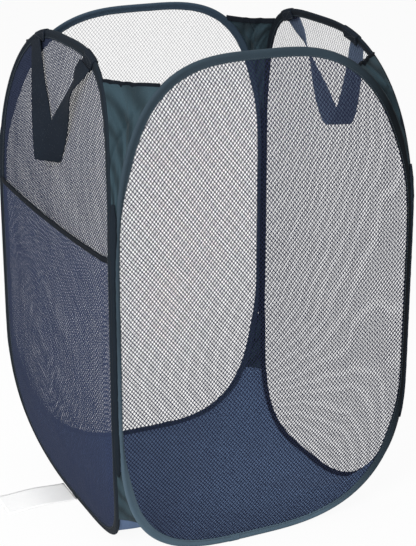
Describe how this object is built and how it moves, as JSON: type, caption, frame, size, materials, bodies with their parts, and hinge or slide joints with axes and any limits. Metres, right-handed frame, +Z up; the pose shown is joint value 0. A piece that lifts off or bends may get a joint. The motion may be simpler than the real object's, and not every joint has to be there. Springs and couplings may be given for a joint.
{
  "type": "pop-up laundry hamper",
  "caption": "Square pop-up laundry hamper: bowed wire-loop net panels joined by corner gussets, fabric base, hanging carry straps, side pocket; folds flat sideways.",
  "frame": {"origin": "on the floor, on the underside of the base, midway between the four panels", "axes": "+Z up, -Y towards the front panel, -X towards the panel with the pocket"},
  "size_m": [0.4762, 0.391, 0.61],
  "materials": {
    "binding_tape": "woven polyester tape, slate blue",
    "net": "knitted polyester net, dark blue",
    "gusset_fabric": "plain woven polyester, slate blue",
    "base_fabric": "plain woven polyester, navy blue",
    "strap_webbing": "flat woven webbing, charcoal blue",
    "trim": "elastic and piping, near black",
    "spring_steel": "bright drawn wire",
    "label": "smooth white ribbon, blank"
  },
  "bodies": {
    "front": {"front_binding_tape": "binding_tape", "front_wire_loop": "spring_steel", "front_wire_ferrule": "spring_steel", "front_net_panel": "net", "front_left_upper_gusset": "gusset_fabric", "front_left_gusset_edging": "trim", "front_left_lower_gusset": "base_fabric", "front_left_corner_welt": "trim", "front_right_upper_gusset": "gusset_fabric", "front_right_gusset_edging": "trim", "front_right_lower_gusset": "base_fabric", "front_right_corner_welt": "trim"},
    "left_side": {"left_binding_tape": "binding_tape", "left_wire_loop": "spring_steel", "left_wire_ferrule": "spring_steel", "left_net_panel": "net", "left_strap_rear_wrap": "strap_webbing", "left_strap_front_wrap": "strap_webbing", "side_pocket_net": "net", "side_pocket_band": "trim", "care_label": "label", "back_left_upper_gusset": "gusset_fabric", "back_left_gusset_edging": "trim", "back_left_lower_gusset": "base_fabric", "back_left_corner_welt": "trim"},
    "right_side": {"right_binding_tape": "binding_tape", "right_wire_loop": "spring_steel", "right_wire_ferrule": "spring_steel", "right_net_panel": "net", "right_strap_rear_wrap": "strap_webbing", "right_strap_front_wrap": "strap_webbing", "back_right_upper_gusset": "gusset_fabric", "back_right_gusset_edging": "trim", "back_right_lower_gusset": "base_fabric", "back_right_corner_welt": "trim"},
    "back_side": {"back_binding_tape": "binding_tape", "back_wire_loop": "spring_steel", "back_wire_ferrule": "spring_steel", "back_net_panel": "net"},
    "base": {"base_panel": "base_fabric"},
    "left_handle": {"left_carry_strap": "strap_webbing"},
    "right_handle": {"right_carry_strap": "strap_webbing"}
  },
  "joints": [
    {"name": "left_fold", "type": "hinge", "parent": "front", "child": "left_side", "pos_m": [-0.181, -0.181, 0.29], "axis": [0, 0, -1], "range_deg": [0, 60], "stiffness_Nm_per_rad": 0.6, "deforming": ["front_left_upper_gusset", "front_left_gusset_edging", "front_left_lower_gusset", "front_left_corner_welt"]},
    {"name": "right_fold", "type": "hinge", "parent": "front", "child": "right_side", "pos_m": [0.193, -0.193, 0.29], "axis": [0, 0, -1], "range_deg": [0, 60], "deforming": ["front_right_upper_gusset", "front_right_gusset_edging", "front_right_lower_gusset", "front_right_corner_welt", "back_right_upper_gusset", "back_right_gusset_edging", "back_right_lower_gusset", "back_right_corner_welt"]},
    {"name": "back_fold", "type": "hinge", "parent": "left_side", "child": "back_side", "pos_m": [-0.193, 0.193, 0.29], "axis": [0, 0, 1], "range_deg": [0, 60], "deforming": ["back_left_upper_gusset", "back_left_gusset_edging", "back_left_lower_gusset", "back_left_corner_welt"]},
    {"name": "base_turn", "type": "hinge", "parent": "front", "child": "base", "pos_m": [-0.0823, -0.3518, 0.03], "axis": [0, 0, -1], "range_deg": [0, 30], "deforming": ["base_panel"]},
    {"name": "left_handle_swing", "type": "hinge", "parent": "left_side", "child": "left_handle", "pos_m": [-0.1768, 0, 0.5889], "axis": [0, 1, 0], "range_deg": [0, 170]},
    {"name": "right_handle_swing", "type": "hinge", "parent": "right_side", "child": "right_handle", "pos_m": [0.1768, 0, 0.5889], "axis": [0, -1, 0], "range_deg": [0, 170]}
  ],
  "couplings": [
    {"joint": "right_fold", "follows": "left_fold", "ratio": 1},
    {"joint": "back_fold", "follows": "left_fold", "ratio": 1},
    {"joint": "base_turn", "follows": "left_fold", "ratio": 0.5}
  ]
}
